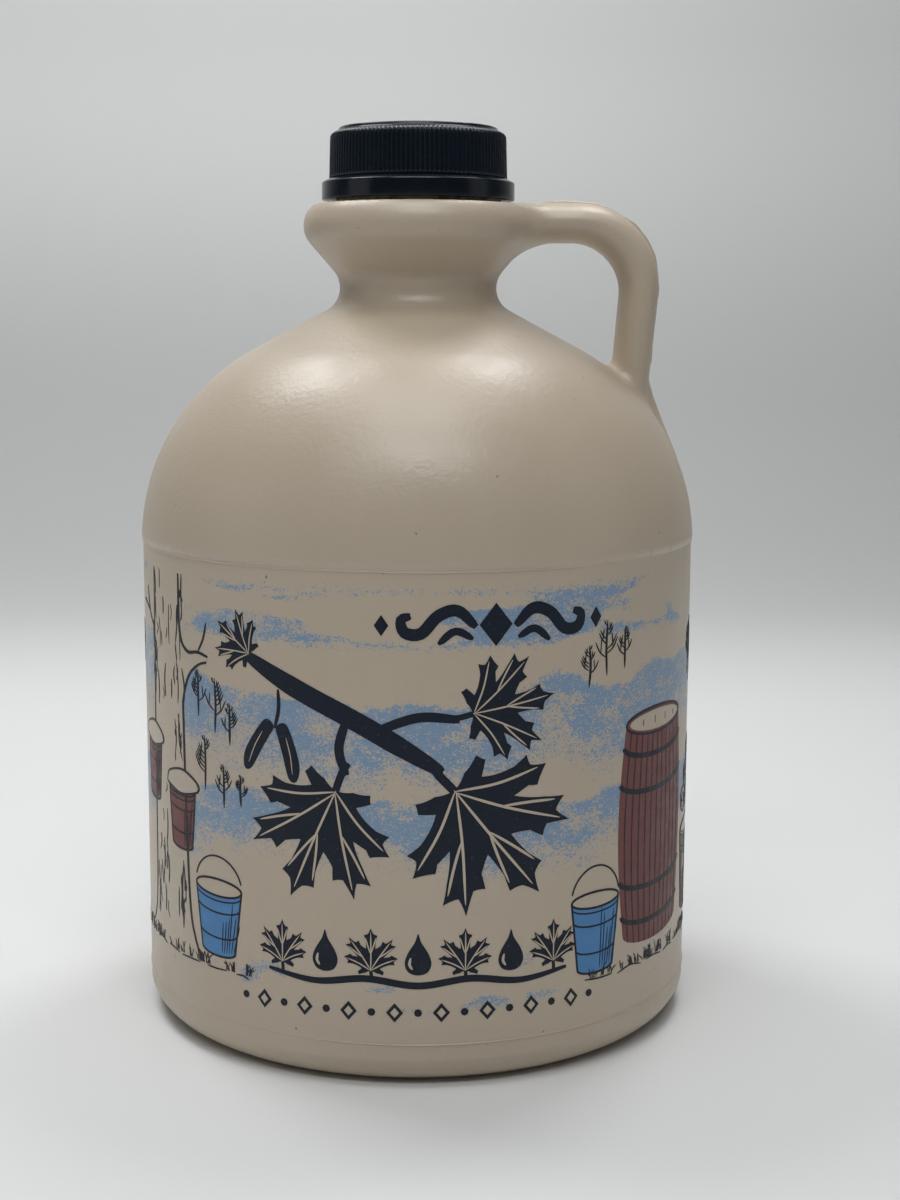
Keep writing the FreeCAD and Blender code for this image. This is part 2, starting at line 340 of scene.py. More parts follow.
def make_jug(material):
    """The jug's skin: a net pulled onto the exact surface, with calmer normals at the waist."""
    step = 1.3
    low = np.array([-BODY_R - 3, -BODY_R - 3, -3.0])
    high = np.array([BODY_R + 3, BODY_R + 3, JUG_HIGH[2] + 3])
    counts = np.ceil((high - low) / step).astype(int) + 1
    axes = [low[i] + step * np.arange(counts[i]) for i in range(3)]
    grid = np.stack(np.meshgrid(*axes, indexing="ij"), axis=-1)
    points, quads = surface_net(jug_field(grid), low, step)
    for _ in range(5):
        slope = field_slope(points, 0.05)
        size = np.maximum((slope**2).sum(axis=1), 0.25)
        move = slope * (jug_field(points) / size)[:, None]
        points -= np.clip(move, -step, step)
    normals = field_slope(points, 0.35)
    near_waist = np.exp(-((points[:, 2] - WAIST_Z + 1.5) / 7.0) ** 4)[:, None]
    normals += (field_slope(points, 2.0) - normals) * near_waist
    normals /= np.linalg.norm(normals, axis=1)[:, None]
    points[:, 2] = np.maximum(points[:, 2], 0.0)
    piece = add_mesh("jug_shell", points, quads.tolist(), material, normals)
    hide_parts("jug")


# ------------ marks of the mould
def ripple(share, seed, count=7):
    """A smooth uneven value from 0 to 1 that comes back to itself as share goes 0 to 1."""
    rng = np.random.default_rng(seed)
    total = np.zeros(np.shape(share))
    for wave in range(1, count + 1):
        total += np.sin(2 * pi * (wave * share + rng.random())) / sqrt(wave)
    return np.clip(0.5 + 0.28 * total, 0, 1)


def make_ridge(name, height, material, seed):
    """A hair-fine bead round the body at an edge of the print panel."""
    columns = 360
    stand = 0.07 + 0.17 * ripple(np.arange(columns) / columns, seed)
    section = [(-0.08, -0.22), (0.75, -0.13), (1.0, 0.0), (0.8, 0.10), (-0.08, 0.2)]
    points = [hoop(PANEL_R + (stand * out if out > 0 else out), height + up, columns)
              for out, up in section]
    piece = add_mesh(name, np.concatenate(points), grid_faces(len(section), columns), material)


def skin_along(origins, directions, reach):
    """Where rays in the parting plane leave the jug, by halving."""
    low, high = np.zeros(len(origins)), np.full(len(origins), float(reach))
    for _ in range(30):
        middle = (low + high) / 2
        flat = origins + directions * middle[:, None]
        inside = jug_field(np.c_[flat[:, 0], 0 * middle, flat[:, 1]]) < 0
        low, high = np.where(inside, middle, low), np.where(inside, high, middle)
    return origins + directions * low[:, None]


def make_seam(name, path, heights, half_width, material):
    """A fin of trimmed flash on the parting plane, along a path of skin points."""
    out = square_to(path)
    section = [(-half_width, -0.35), (-half_width * 0.9, 0.0), (-half_width * 0.35, 1.0),
               (half_width * 0.35, 0.92), (half_width * 0.9, 0.0), (half_width, -0.35)]
    count = len(path)
    points = []
    for side, up in section:
        rise = np.where(up > 0, up * heights, up)
        flat = path + out * rise[:, None]
        points.append(np.c_[flat[:, 0], np.full(count, side), flat[:, 1]])
    faces = [(a, d, c, b) for a, b, c, d in grid_faces(len(section), count, True, False)]
    faces.append(tuple(row * count for row in reversed(range(len(section)))))
    faces.append(tuple(row * count + count - 1 for row in range(len(section))))
    piece = add_mesh(name, np.concatenate(points), faces, material)


def make_seams(material):
    """The parting line: round the outside of the handle, and faintly up both sides."""
    rng = np.random.default_rng(5)
    tops = np.linspace(COLLAR_R + 1.5, HANDLE_X, 24)[:-1]
    bends = np.linspace(pi / 2, -HANDLE_LEAN, 60)
    downs = np.linspace(0, 19.5, 32)[1:]
    spokes = np.c_[np.cos(bends), np.sin(bends)]
    origins = np.r_[np.c_[tops, 0 * tops + HANDLE_Z],
                    (HANDLE_X, BEND_Z) + HANDLE_BEND * spokes,
                    KNEE + downs[:, None] * LEAN_DOWN]
    outward = np.r_[np.tile([0.0, 1.0], (len(tops), 1)), spokes,
                    np.tile(LEAN_OUT, (len(downs), 1))]
    path = skin_along(origins, outward, 8.0)
    share = np.linspace(0, 1, len(path))
    heights = 0.16 + 0.42 * ripple(share * 0.9, 3, 16) + rng.normal(0, 0.04, len(path))
    heights[share > 0.62] *= 0.45
    heights *= np.clip(np.minimum(share, 1 - share) / 0.05, 0.05, 1)
    make_seam("seam_handle", path, np.maximum(heights, 0.02), 0.42, material)
    turns = np.radians(np.linspace(4, 38, 90))
    core = np.array([BODY_R - SHOULDER_R, SHOULDER_Z])
    for name, side in (("seam_right", 1), ("seam_left", -1)):
        rays = np.c_[np.cos(turns) * side, np.sin(turns)]
        path = skin_along(np.tile(core * (side, 1), (len(rays), 1)), rays, 60.0)
        path = path[::-1] if side > 0 else path
        share = np.linspace(0, 1, len(path))
        heights = 0.04 + 0.07 * ripple(share * 0.9, 8 + side)
        heights *= np.clip(np.minimum(share, 1 - share) / 0.1, 0.05, 1)
        make_seam(name, path, heights, 0.3, material)


# ------------ cap and tamper band
RIBS = 120
RIB_DEPTH = 0.35


def make_cap(material):
    """The ribbed skirt, its rounded crown and the raised disc, as one closed skin."""
    wave = np.array([0.0, 0.30, 0.80, 1.0, 1.0, 0.80, 0.30, 0.0])
    columns = RIBS * len(wave)
    root = CAP_HIGH[0] - RIB_DEPTH
    bottom, top = CAP_LOW[2], CAP_HIGH[2]
    bore = MOUTH_R + FIT_GAP
    taper, rounding = 0.22, 1.5
    rib_top = top - 2.2
    # (radius at a root, height, how much of the rib stands there)
    rows = [(bore, bottom + 3.0, 0.0), (bore, bottom + 0.15, 0.0), (bore + 0.15, bottom, 0.0),
            (root - 0.2, bottom, 0.0), (root - 0.05, bottom + 0.03, 0.8),
            (root, bottom + 0.12, 1.0)]
    for share in np.linspace(0.1, 1.0, 8):
        rows.append((root - taper * share, bottom + 0.12 + share * (rib_top - 0.9 - bottom), 1.0))
    edge = root - taper - rounding
    for angle in (15, 32, 50, 68, 84):
        rise = radians(angle)
        rows.append((edge + rounding * cos(rise), rib_top + rounding * sin(rise) - 0.15,
                     max(0.0, 1.0 - (angle / 60.0) ** 2)))
    rows += [(edge - inset, top - sink, 0.0) for inset, sink in
             ((0.10, 0.62), (0.16, 0.30), (0.30, 0.10), (0.55, 0.01), (0.95, 0.0))]
    points = [hoop(radius + RIB_DEPTH * stand * np.tile(wave, RIBS), height, columns)
              for radius, height, stand in rows]
    faces = grid_faces(len(rows), columns, close_rows=False)
    last = (len(rows) - 1) * columns
    faces += [tuple(range(last, last + columns)), tuple(range(columns - 1, -1, -1))]
    piece = add_mesh("cap_shell", np.concatenate(points), faces, material)
    piece.data.set_sharp_from_angle(angle=radians(62))
    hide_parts("cap")


def make_band(material):
    """The smooth band with a rounded shoulder, as one closed ring."""
    bore = MOUTH_R + FIT_GAP
    outer = BAND_HIGH[0]
    low, high = BAND_LOW[2], BAND_HIGH[2]
    outline = [(bore, low + 0.3), (bore + 0.3, low)]
    outline += arc((outer - 0.25, low + 0.25), 0.25, -90, 0, 5)
    outline += arc((outer - 0.45, high - 1.10), 0.45, 0, 58, 6)
    outline += arc((outer - 1.55, high - 0.14), 0.14, 62, 90, 3)
    outline += [(bore + 0.1, high), (bore, high - 0.1)]
    columns = 256
    points = [hoop(radius, height, columns) for radius, height in outline]
    piece = add_mesh("band_shell", np.concatenate(points), grid_faces(len(outline), columns),
                     material)
    piece.data.set_sharp_from_angle(angle=radians(40))
    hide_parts("tamper_band")


# ------------ the print on the side
# The print is laid out flat, in millimetres: across from the middle of the front, towards
# the handle, and up from the base.  It is repeated on the back, half a turn round.
INK_FOOT = -0.05
LIFT_STEP = 0.0008
LIFT = {"bare": 0.03, "maroon": 0.05, "blue": 0.05, "navy": 0.065, "lines": 0.08,
        "veins": 0.095, "fine": 0.11}


def on_wall(flat, lift, turn):
    """Points of the flat layout, wrapped round the panel at a small height over it."""
    angle = flat[:, 0] / PANEL_R - pi / 2 + turn
    radius = PANEL_R + lift
    return np.c_[radius * np.cos(angle), radius * np.sin(angle), flat[:, 1]]


class Ink:
    """Thin closed patches of one colour of print."""

    def __init__(self, kind):
        self.lift = LIFT[kind]
        self.patches = []

    def patch(self, flat, triangles):
        self.patches.append((np.asarray(flat, dtype=float), np.asarray(triangles)))

    def fill(self, outline):
        """A filled shape inside an outline of (across, up) points."""
        loop = dense(outline)
        points = [Vector(p) for p in loop]
        edges = [(i, (i + 1) % len(loop)) for i in range(len(loop))]
        low, high = loop.min(axis=0), loop.max(axis=0)
        for column, across in enumerate(np.arange(low[0] + 0.8, high[0], 1.6)):
            for up in np.arange(low[1] + 0.8 + 1.5 * (column % 2), high[1], 3.0):
                points.append(Vector((across, up)))
        flat, _, triangles, _, _, _ = delaunay_2d_cdt(points, edges, [], 0, 1e-5)
        flat = np.array([tuple(p) for p in flat])
        triangles = np.array([t for t in triangles if len(t) == 3])
        self.patch(flat, triangles[within(flat[triangles].mean(axis=1), loop)])

    def stroke(self, path, width, taper=0.5):
        """A line along a smooth path, thinner at its ends by the taper."""
        path = smooth(path)
        run = np.r_[0, np.cumsum(np.hypot(*np.diff(path, axis=0).T))]
        share = run / run[-1]
        ends = np.clip(np.minimum(share, 1 - share) / 0.25, 0, 1)
        half = width / 2 * (1 - taper * (1 - np.sqrt(ends)))
        side = square_to(path) * half[:, None]
        count = len(path)
        triangles = []
        for i in range(count - 1):
            triangles += [(i, i + 1, count + i), (i + 1, count + i + 1, count + i)]
        self.patch(np.r_[path + side, path - side], np.array(triangles)[:, ::-1])

    def dot(self, across, up, size):
        flat = ellipse((across, up), size, size, 0, 315, 8)
        self.patch(flat, [(0, i, i + 1) for i in range(1, 7)])

    def build(self, name, material):
        points, normals, faces = [], [], []
        for turn in (0, pi):
            for number, (flat, triangles) in enumerate(self.patches):
                lift = self.lift + LIFT_STEP * (number % 10)
                corners = flat[triangles]
                area = np.cross(corners[:, 1] - corners[:, 0], corners[:, 2] - corners[:, 0])
                triangles = np.where((area < 0)[:, None], triangles[:, ::-1], triangles)
                used, triangles = np.unique(triangles, return_inverse=True)
                triangles = triangles.reshape(-1, 3)
                top = on_wall(flat[used], lift, turn)
                foot = on_wall(flat[used], INK_FOOT, turn)
                out = top * (1, 1, 0)
                out /= np.linalg.norm(out, axis=1)[:, None]
                start = sum(len(p) for p in points)
                size = len(used)
                points += [top, foot, top, foot]
                normals += [out, -out, out, out]
                faces += (triangles + start).tolist()
                faces += (triangles[:, ::-1] + start + size).tolist()
                sides = np.concatenate([triangles[:, pair] for pair in ([0, 1], [1, 2], [2, 0])])
                known = {(a, b) for a, b in sides.tolist()}
                for a, b in known:
                    if (b, a) not in known:
                        faces.append((start + 2 * size + b, start + 2 * size + a,
                                      start + 3 * size + a, start + 3 * size + b))
        piece = add_mesh(name, np.concatenate(points), faces, material, np.concatenate(normals))


def dense(loop, gap=1.5):
    """A closed outline with points added so that none lie further apart than the gap."""
    loop = np.asarray(loop)
    out = []
    for here, there in zip(loop, np.roll(loop, -1, axis=0)):
        steps = max(1, ceil(np.linalg.norm(there - here) / gap))
        out += [here + (there - here) * i / steps for i in range(steps)]
    return np.array(out)


def within(points, loop):
    """Which points lie inside a closed outline."""
    hit = np.zeros(len(points), dtype=bool)
    for (ax, ay), (bx, by) in zip(loop, np.roll(loop, -1, axis=0)):
        if ay != by:
            crosses = (ay > points[:, 1]) != (by > points[:, 1])
            hit ^= crosses & (points[:, 0] < ax + (points[:, 1] - ay) * (bx - ax) / (by - ay))
    return hit


def smooth(path, gap=0.9, closed=False):
    """A Catmull-Rom curve through the points of a path, sampled about every gap."""
    path = np.asarray(path)
    if len(path) == 2 and not closed:
        steps = max(2, ceil(np.linalg.norm(path[1] - path[0]) / gap) + 1)
        return path[0] + (path[1] - path[0]) * np.linspace(0, 1, steps)[:, None]
    if closed:
        ring = np.r_[path[-1:], path, path[:2]]
    else:
        ring = np.r_[2 * path[:1] - path[1:2], path, 2 * path[-1:] - path[-2:-1]]
    out = []
    for a, b, c, d in zip(ring, ring[1:], ring[2:], ring[3:]):
        steps = max(1, ceil(np.linalg.norm(c - b) / gap))
        for share in np.arange(steps) / steps:
            s2, s3 = share**2, share**3
            out.append(0.5 * (2 * b + (c - a) * share + (2 * a - 5 * b + 4 * c - d) * s2
                              + (3 * b - a - 3 * c + d) * s3))
    if not closed:
        out.append(path[-1])
    return np.array(out)


def placed(points, size, turn, at):
    """Points of a unit motif, sized, turned by degrees and moved to a place."""
    points = np.asarray(points) * size
    turn = radians(turn)
    spin = np.array([[cos(turn), -sin(turn)], [sin(turn), cos(turn)]])
    return points @ spin + at


# Half of a sugar maple leaf, from its tip to its stem: lobes, teeth and the bays between.
LEAF_HALF = [
    (0, 1), (0.05, 0.89), (0.128, 0.862), (0.096, 0.765), (0.09, 0.6),
    (0.19, 0.665), (0.228, 0.75), (0.29, 0.712), (0.415, 0.8), (0.385, 0.69),
    (0.478, 0.662), (0.385, 0.58), (0.245, 0.435), (0.35, 0.45), (0.392, 0.486),
    (0.51, 0.425), (0.432, 0.362), (0.452, 0.3), (0.35, 0.3), (0.17, 0.215),
    (0.25, 0.15), (0.225, 0.095), (0.11, 0.13), (0.016, 0.17)]
LEAF_VEINS = [
    [(0, 0.17), (0.005, 0.55), (0, 0.93)], [(0, 0.19), (0.17, 0.46), (0.375, 0.745)],
    [(0, 0.18), (0.22, 0.31), (0.455, 0.405)], [(0.002, 0.50), (0.055, 0.66), (0.10, 0.82)],
    [(0.15, 0.43), (0.29, 0.53), (0.42, 0.635)]]


def leaf_outline():
    """The whole leaf, each edge drawn in a little towards the middle vein."""
    right = np.array(LEAF_HALF)
    left = right[::-1] * (-1, 1)
    loop = np.r_[right, left[:-1]]
    out = []
    for here, there in zip(loop, np.roll(loop, -1, axis=0)):
        middle = (here + there) / 2
        length = np.linalg.norm(there - here)
        inward = np.array([0, 0.42]) - middle
        bend = middle + inward / np.linalg.norm(inward) * length * 0.13
        for share in (0, 0.2, 0.4, 0.6, 0.8):
            out.append(here * (1 - share)**2 + 2 * bend * share * (1 - share) + there * share**2)
    return np.array(out)


def leaf(inks, at, size, turn):
    """One leaf with its bare veins and its stalk; at is the foot of the stalk."""
    inks["navy"].fill(placed(leaf_outline(), size, turn, at))
    for vein in LEAF_VEINS:
        for side in ((1, 1), (-1, 1)) if vein[1][0] > 0.01 else ((1, 1),):
            inks["veins"].stroke(placed(np.array(vein) * side, size, turn, at),
                                 max(0.28, size * 0.016), 0.8)
    inks["navy"].stroke(placed([(0, 0.21), (0.012, 0.04), (0, -0.04)], size, turn, at),
                        size * 0.045 + 0.25, 0.2)


def maple_key(inks, at, size, turn):
    """A pair of winged seeds."""
    wing = [(0.02, 0.0), (0.16, 0.10), (0.30, -0.05), (0.52, -0.52), (0.50, -0.80),
            (0.36, -0.78), (0.20, -0.42), (0.08, -0.16)]
    rib = [(0.22, -0.12), (0.34, -0.4), (0.42, -0.7)]
    for side in ((1, 1), (-1, 1)):
        shape = placed(np.array(wing) * side, size, turn, at)
        inks["navy"].fill(smooth(shape, 0.7, closed=True))
        inks["veins"].stroke(placed(np.array(rib) * side, size, turn, at), 0.22, 0.8)
    inks["navy"].stroke(placed([(0, -0.02), (0.03, 0.3), (-0.02, 0.62)], size, turn, at),
                        size * 0.05 + 0.2)


def drop(inks, at, size):
    """A drop of sap, point up, with a bare glint."""
    side = [(0.07, 0.80), (0.24, 0.52), (0.31, 0.28), (0.22, 0.07)]
    shape = [(0, 1.0), *side, (0, 0.0), *((-x, y) for x, y in side[::-1])]
    inks["navy"].fill(smooth(placed(shape, size, 0, at), 0.6, closed=True))
    inks["veins"].stroke(placed([(-0.17, 0.42), (-0.20, 0.26), (-0.13, 0.14)], size, 0, at),
                         size * 0.05 + 0.12)


def lozenge(inks, at, width, height, ink="navy"):
    corners = np.array([(1, 0), (0, 1), (-1, 0), (0, -1)]) * (width / 2, height / 2)
    inks[ink].fill(corners + at)


def centre_motif(inks):
    """A twig that hangs across the front, with leaves of unlike size and winged seeds."""
    inks["navy"].stroke([(-38, 91), (-28, 86), (-14, 79.5), (-4, 74), (5, 68.5)], 4.2, 0.6)
    for stalk in ([(-15, 79), (-16.5, 73), (-15, 67.5)], [(-9, 77), (0, 80), (8.5, 79.5)]):
        inks["navy"].stroke(stalk, 2.0, 0.3)
    for at, size, turn in (((3.5, 69.5), 36, 141), ((-15, 69), 31, 204), ((7.5, 80.0), 22, 80),
                           ((-35.5, 90), 13, -55)):
        leaf(inks, at, size, turn)
    maple_key(inks, (-31, 76.5), 13, 8)


def top_ornament(inks):
    """A short scroll with lozenges, above the twig on the handle's side."""
    middle = (16.0, 99.0)
    lozenge(inks, middle, 7.0, 9.0)
    for side in (1, -1):
        sweep = np.array([(4.2, -0.4), (8, 3.0), (12, 2.0), (15.5, -1.6), (18.8, -1.4),
                          (19.6, 1.2), (17.6, 2.0)]) * (side, 1)
        inks["navy"].stroke(sweep + middle, 2.5, 0.5)
        under = np.array([(4.8, -2.8), (8.5, -1.2), (12.0, -3.8)]) * (side, 1)
        inks["navy"].stroke(under + middle, 1.6, 0.6)
        lozenge(inks, np.array([side * 23.6, 0.0]) + middle, 3.0, 4.4)


def border(inks):
    """The row of leaves and drops under the twig, and the fine chain of lozenges."""
    inks["navy"].stroke([(11 * i, 24.2 if i % 2 else 22.9) for i in range(-3, 4)], 1.5, 0.6)
    for place in range(-3, 4):
        across = place * 9.9
        if place % 2:
            leaf(inks, (across, 24.0), 11.2, 0)
        else:
            drop(inks, (across, 25.2), 9.0)
    for place in range(-8, 9):
        across = place * 4.9
        if place % 2:
            lozenge(inks, (across, 17.0), 3.6, 4.2, "lines")
            lozenge(inks, (across, 17.0), 1.9, 2.2, "veins")
        else:
            inks["lines"].dot(across, 17.0, 1.7)


def ellipse(middle, width, height, start=0, end=360, steps=25):
    angles = np.radians(np.linspace(start, end, steps))
    return np.c_[middle[0] + width / 2 * np.cos(angles), middle[1] + height / 2 * np.sin(angles)]


def pail(inks, at, top, foot, height, ink, rng, bail=True):
    """A tapered pail with its rim, hoops, shade lines and wire bail; at is its foot."""
    line = inks["lines"].stroke
    at = np.array(at)
    rim = at + (0, height)
    mouth = ellipse(rim, top, top * 0.26)
    bottom = ellipse(at, foot, foot * 0.26, 180, 360, 13)
    inks[ink].fill(np.r_[bottom, ellipse(rim, top, top * 0.26, 0, -180, 13)])
    inks["bare"].fill(mouth[:-1])
    line(mouth, 0.5, 0)
    line(ellipse(rim - (0, 1.1), top * 0.985, top * 0.26, 180, 360), 0.35, 0)
    line(bottom, 0.5, 0)
    for side in (1, -1):
        line([rim + (side * top / 2, 0), at + (side * foot / 2, 0)], 0.45, 0)
    for level in (0.30, 0.72):
        width = foot + (top - foot) * level
        line(ellipse(at + (0, height * level), width, width * 0.26, 180, 360), 0.4, 0)
    for share in np.linspace(0.12, 0.46, 6):
        low = at + (share * foot, 0.5 - 0.10 * foot * (1 - 3.2 * share**2))
        high = at + (share * top, height * rng.uniform(0.45, 0.92))
        line([low, high], 0.28, 0.8)
    if bail:
        line(ellipse(rim, top * 1.02, height, 15, 165), 0.38, 0)


def barrel(inks, at, width, height):
    """A standing barrel in maroon with stave lines, broad dark hoops and a bare lid."""
    line = inks["lines"].stroke
    at = np.array(at)
    lid, reach, depth = at + (0, height), width * 0.86, width * 0.2
    levels = np.linspace(0, 1, 13)
    bulge = 1 + 0.17 * np.sin(pi * levels)
    side = np.c_[bulge * reach / 2, levels * height]
    inks["maroon"].fill(np.r_[side + at, ellipse(lid, reach, depth, 0, 180)[1:-1],
                              side[::-1] * (-1, 1) + at,
                              ellipse(at, reach, depth, 180, 360)[1:-1]])
    for stave in np.linspace(-0.86, 0.86, 11):
        path = np.c_[stave * bulge * reach / 2, levels * height - depth / 2 * sqrt(1 - stave**2)]
        line(path[::3] + at, 0.32, 0.1)
    for level in (0.10, 0.27, 0.73, 0.90):
        around = (1 + 0.17 * sin(pi * level)) * reach
        line(ellipse(at + (0, height * level), around, depth, 180, 360), 1.15, 0)
    line(ellipse(lid, reach, depth), 0.55, 0)
    inks["veins"].fill(ellipse(lid, width * 0.78, width * 0.15)[:-1])
    for shift in (-0.22, -0.05, 0.12, 0.28):
        half = width * 0.19 * sqrt(0.39**2 - shift**2) * 0.38
        inks["fine"].stroke([lid + (shift * width, -half), lid + (shift * width, half)], 0.3, 0)


def tub(inks, at, width, height, rng):
    """A wide bare wooden tub: staves as uneven lines, two hoops and an open top."""
    line = inks["lines"].stroke
    at = np.array(at)
    top, foot = width, width * 0.84
    rim = at + (0, height)
    inks["bare"].fill(np.r_[ellipse(at, foot, foot * 0.2, 180, 360, 13),
                            ellipse(rim, top, top * 0.2, 0, 180, 13)])
    for stave in np.linspace(-0.93, 0.93, 17):
        sag = sqrt(1 - stave**2)
        low = at + (stave * foot / 2, -foot * 0.1 * sag)
        high = rim + (stave * top / 2, -top * 0.1 * sag)
        for start, end in ((0, rng.uniform(0.55, 1)), (rng.uniform(0.5, 0.8), 1)):
            wander = rng.normal(0, 0.15, 2)
            line([low + (high - low) * start,
                  low + (high - low) * (start + end) / 2 + wander,
                  low + (high - low) * end], rng.uniform(0.28, 0.6), 0.6)
    for side in (1, -1):
        line([at + (side * foot / 2, 0), rim + (side * top / 2, 0)], 0.6, 0)
    for level in (0.20, 0.76):
        reach = foot + (top - foot) * level
        for shift in (0, 1.5):
            line(ellipse(at + (0, height * level + shift), reach, reach * 0.2, 180, 360), 0.45, 0)
    line(ellipse(at, foot, foot * 0.2, 180, 360), 0.6, 0)
    line(ellipse(rim, top, top * 0.2), 0.55, 0)
    line(ellipse(rim + (0, 0.2), top * 0.93, top * 0.155), 0.35, 0)


def log_pile(inks, at, size, rng):
    """Cut logs seen from their ends, with growth rings and cracks."""
    line = inks["lines"].stroke
    spots = [(0, 0), (1.02, 0), (2.04, 0), (3.05, 0), (0.5, 0.88), (1.53, 0.88), (2.55, 0.88),
             (1.02, 1.76), (2.04, 1.74)]
    for spot in spots:
        middle = np.array(at) + np.array(spot) * size + (0, size / 2)
        wobble = 1 + rng.normal(0, 0.03, 12)
        ring = ellipse(middle, size * 0.98, size * 0.92, 0, 330, 12)
        ring = middle + (ring - middle) * wobble[:, None]
        inks["bare"].fill(smooth(ring, 1.0, closed=True))
        line(np.r_[ring, ring[:1]], 0.6, 0)
        for scale in (0.72, 0.5, 0.28):
            turn = rng.integers(0, 12)
            part = np.roll(ring, turn, axis=0)[:rng.integers(7, 12)]
            line(middle + (part - middle) * scale, 0.28, 0.7)
        for _ in range(2):
            lean = rng.uniform(0, 2 * pi)
            tip = np.array([cos(lean), sin(lean)]) * size * 0.36
            line([middle + tip * 0.15, middle + tip], 0.3, 0.8)


def tufts(inks, low, high, level, count, rng):
    """Short tufts of dry grass and a broken ground line."""
    line = inks["lines"].stroke
    for across in np.sort(rng.uniform(low, high, count)):
        for blade in range(rng.integers(2, 5)):
            foot = across + 0.4 * blade
            lean, tall = rng.normal(0, 0.9), rng.uniform(1.2, 3.0)
            line([(foot, level), (foot + lean * 0.4, level + tall * 0.6),
                  (foot + lean, level + tall)], 0.26, 0.8)
    across = low
    while across < high:
        length = rng.uniform(3, 9)
        rise = rng.normal(0, 0.25, 3)
        line([(across, level - 0.3 + rise[0]),
              (across + length / 2, level - 0.1 + rise[1]),
              (across + length, level - 0.4 + rise[2])], 0.34, 0.6)
        across += length + rng.uniform(0.8, 3.0)


def far_tree(inks, at, height, rng):
    """A small bare tree on a hill: a trunk and branches that fork upwards."""
    line = inks["lines"].stroke
    at = np.array(at)
    line([at, at + (rng.normal(0, 0.3), height * 0.5), at + (0, height)], 0.55, 0.9)
    for level in np.linspace(0.32, 0.9, 8):
        side = 1 if rng.random() < 0.5 else -1
        reach = height * 0.34 * (1.15 - level) * side
        start = at + (0, height * level)
        end = start + (reach, abs(reach) * 1.1)
        line([start, start + (reach * 0.6, abs(reach) * 0.4), end], 0.3, 0.7)
        line([start + (reach * 0.55, abs(reach) * 0.4),
              start + (reach * 0.5, abs(reach) * 1.25)], 0.24, 0.7)


def tapped_tree(inks, at, rng, clear):
    """A broad maple trunk with a limb, roots and bark lines; clear holds what hangs on it."""
    line = inks["lines"].stroke
    at = np.array(at)
    left = np.array([(-15, 0), (-11.5, 3), (-9.2, 10), (-8.4, 28), (-8.0, 48), (-7.4, 66),
                     (-7.0, 84)])
    right = np.array([(14, -0.5), (11.5, 3.5), (9.6, 11), (8.6, 30), (8.0, 52), (8.2, 57),
                      (10.5, 62.2), (14.0, 65.0), (17.0, 66.0)])
    limb = np.array([(17.4, 67.2), (14.0, 67.8), (9.8, 67.6), (7.0, 71.5), (6.6, 84)])
    ring = np.r_[smooth(left), smooth(limb)[::-1], smooth(right)[::-1]]
    inks["bare"].fill(ring + at)
    for edge in (left, right, limb):
        line(edge + at, 0.75, 0.4)
    for twig in ([(14, 67.8), (16, 71), (17, 74.5)],
                 [(-7.3, 70), (-11, 73.5), (-13, 79)], [(-11, 73.5), (-15, 75), (-18, 75.5)]):
        line(np.array(twig) + at, 0.55, 0.7)
    for _ in range(120):
        up = rng.uniform(4, 80)
        across = rng.uniform(-0.92, 0.92)
        across = np.sign(across) * abs(across) ** 0.6
        half = 8.4 + 2.5 * exp(-up / 6)
        length = rng.uniform(2, 9)
        sway = rng.normal(0, 0.35, 3)
        path = at + [(across * half + sway[i], min(84, up + length * i / 2)) for i in range(3)]
        width = rng.uniform(0.25, 0.55)
        hidden = [(abs(path[:, 0] - x) < reach) & (path[:, 1] > low) & (path[:, 1] < high)
                  for x, reach, low, high in clear]
        if not np.any(hidden):
            line(path, width, 0.8)


def scenes(inks):
    rng = np.random.default_rng(12)
    for across, up, height in ((-43, 71, 9), (-47.5, 73, 12), (-53, 76, 10), (-40, 58, 7),
                               (-45, 57, 9.5), (-51, 60, 12), (38, 84, 9), (43, 86, 12),
                               (48.5, 87, 9), (84, 80, 12), (87, 78, 15), (93, 79, 11),
                               (-90, 82, 10), (-96, 79, 13)):
        far_tree(inks, (across, up), height, rng)
    hung = ((-60.5, 46), (-76.5, 54))
    tapped_tree(inks, (-67, 22), rng, [(x, 7.2, z - 2, z + 17.5) for x, z in hung])
    for across, up in hung:
        pail(inks, (across, up), 11.5, 8.8, 12.5, "maroon", rng, bail=False)
        lid = [(-0.5, -0.05), (-0.42, 0.14), (0.05, 0.24), (0.46, 0.10), (0.5, -0.05), (0, -0.16)]
        inks["veins"].fill(np.array(lid) * 13.5 + (across, up + 13.6))
        inks["fine"].stroke(np.array(lid + lid[:1]) * 13.5 + (across, up + 13.6), 0.5, 0)
    pail(inks, (-47.5, 25), 14.5, 10.5, 14.0, "blue", rng)
    tufts(inks, -98, -38, 21.0, 34, rng)
    barrel(inks, (62, 27), 29, 47)
    log_pile(inks, (82, 48), 6.2, rng)
    tub(inks, (92, 26), 26, 18, rng)
    pail(inks, (41, 22.5), 13.5, 10.0, 15.0, "blue", rng)
    tufts(inks, 38, 99, 20.0, 34, rng)


def make_print(materials):
    inks = {kind: Ink(kind) for kind in LIFT}
    centre_motif(inks)
    top_ornament(inks)
    border(inks)
    scenes(inks)
    for kind, ink in inks.items():
        ink.build("print_" + kind, materials[kind])


